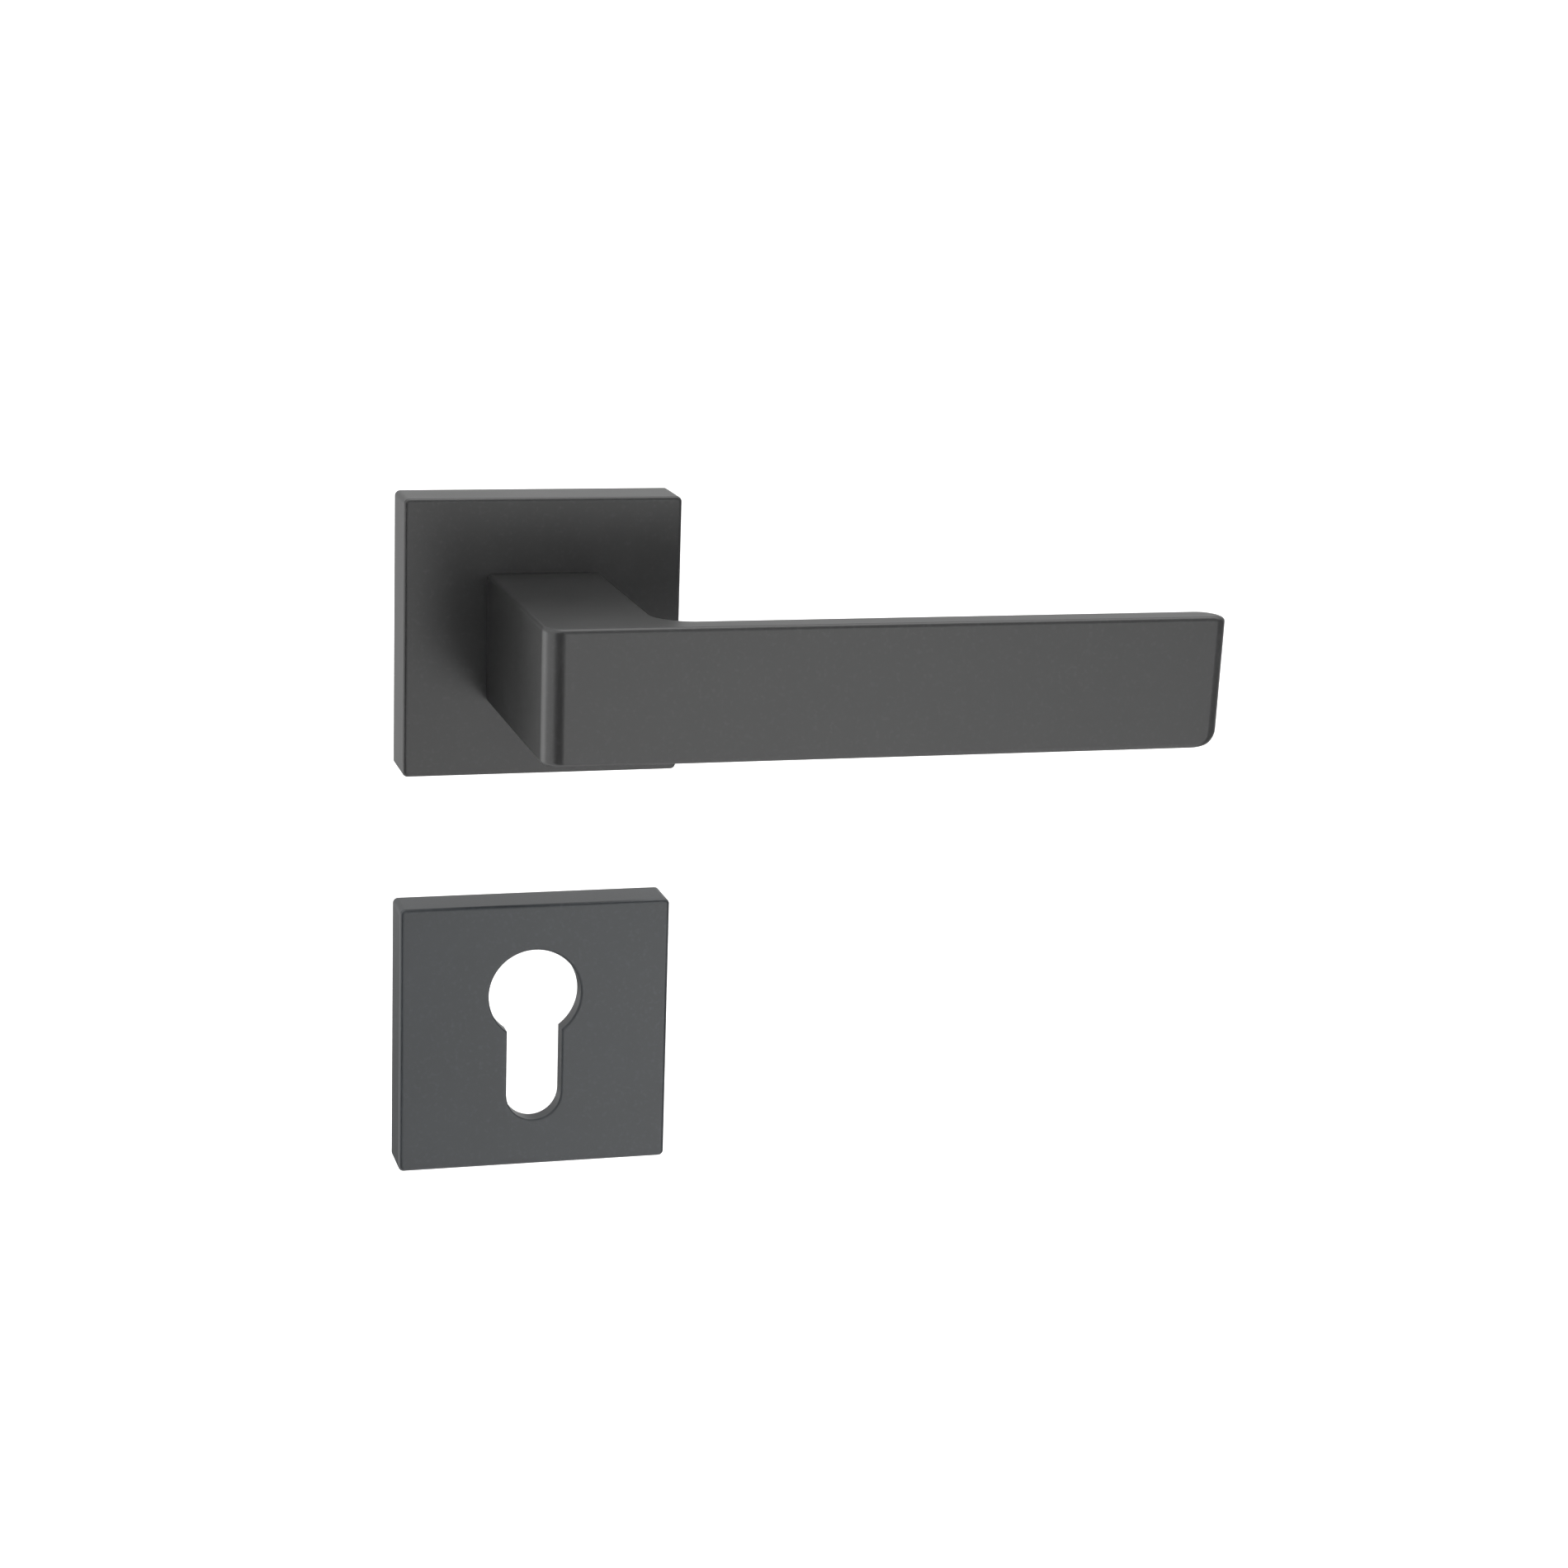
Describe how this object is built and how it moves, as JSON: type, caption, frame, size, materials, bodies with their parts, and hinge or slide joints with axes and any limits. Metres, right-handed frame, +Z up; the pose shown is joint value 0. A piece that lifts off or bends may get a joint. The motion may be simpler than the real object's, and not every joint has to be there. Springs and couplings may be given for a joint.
{
  "type": "door lever handle",
  "caption": "Sprung lever handle on a square rose with an eight millimetre spindle, and a matching square escutcheon with a euro-profile key hole.",
  "frame": {"origin": "where the spindle's axis crosses the door's face", "axes": "+Y along the spindle into the door, -Y into the room, +Z up, +X along the lever's blade"},
  "size_m": [0.1395, 0.1172, 0.1301],
  "materials": {
    "anthracite_finish": "satin",
    "cast_zinc": "matte",
    "zinc_plated_steel": "satin",
    "spring_steel": "satin",
    "nylon": "satin"
  },
  "bodies": {
    "door_fittings": {"rose_cover": "anthracite_finish", "rose_base": "cast_zinc", "bearing_bush": "nylon", "return_spring": "spring_steel", "rear_plate": "zinc_plated_steel", "plate_screw_1": "zinc_plated_steel", "plate_screw_2": "zinc_plated_steel", "plate_screw_3": "zinc_plated_steel", "plate_screw_4": "zinc_plated_steel", "rose_screw_upper": "zinc_plated_steel", "rose_screw_lower": "zinc_plated_steel", "rose_clip_left": "spring_steel", "rose_clip_right": "spring_steel", "escutcheon_cover": "anthracite_finish", "escutcheon_base": "cast_zinc", "escutcheon_screw_left": "zinc_plated_steel", "escutcheon_screw_right": "zinc_plated_steel", "escutcheon_clip_upper": "spring_steel", "escutcheon_clip_lower": "spring_steel"},
    "lever": {"lever_handle": "anthracite_finish", "spindle": "zinc_plated_steel", "grub_screw": "spring_steel", "spring_driver": "zinc_plated_steel", "thrust_washer": "nylon", "hub_circlip": "spring_steel"}
  },
  "joints": [
    {"name": "lever_turn", "type": "hinge", "parent": "door_fittings", "child": "lever", "pos_m": [0, 0, 0], "axis": [0, 1, 0], "range_deg": [0, 45], "stiffness_Nm_per_rad": 0.9, "springref_deg": -40.11, "deforming": ["return_spring"]}
  ]
}
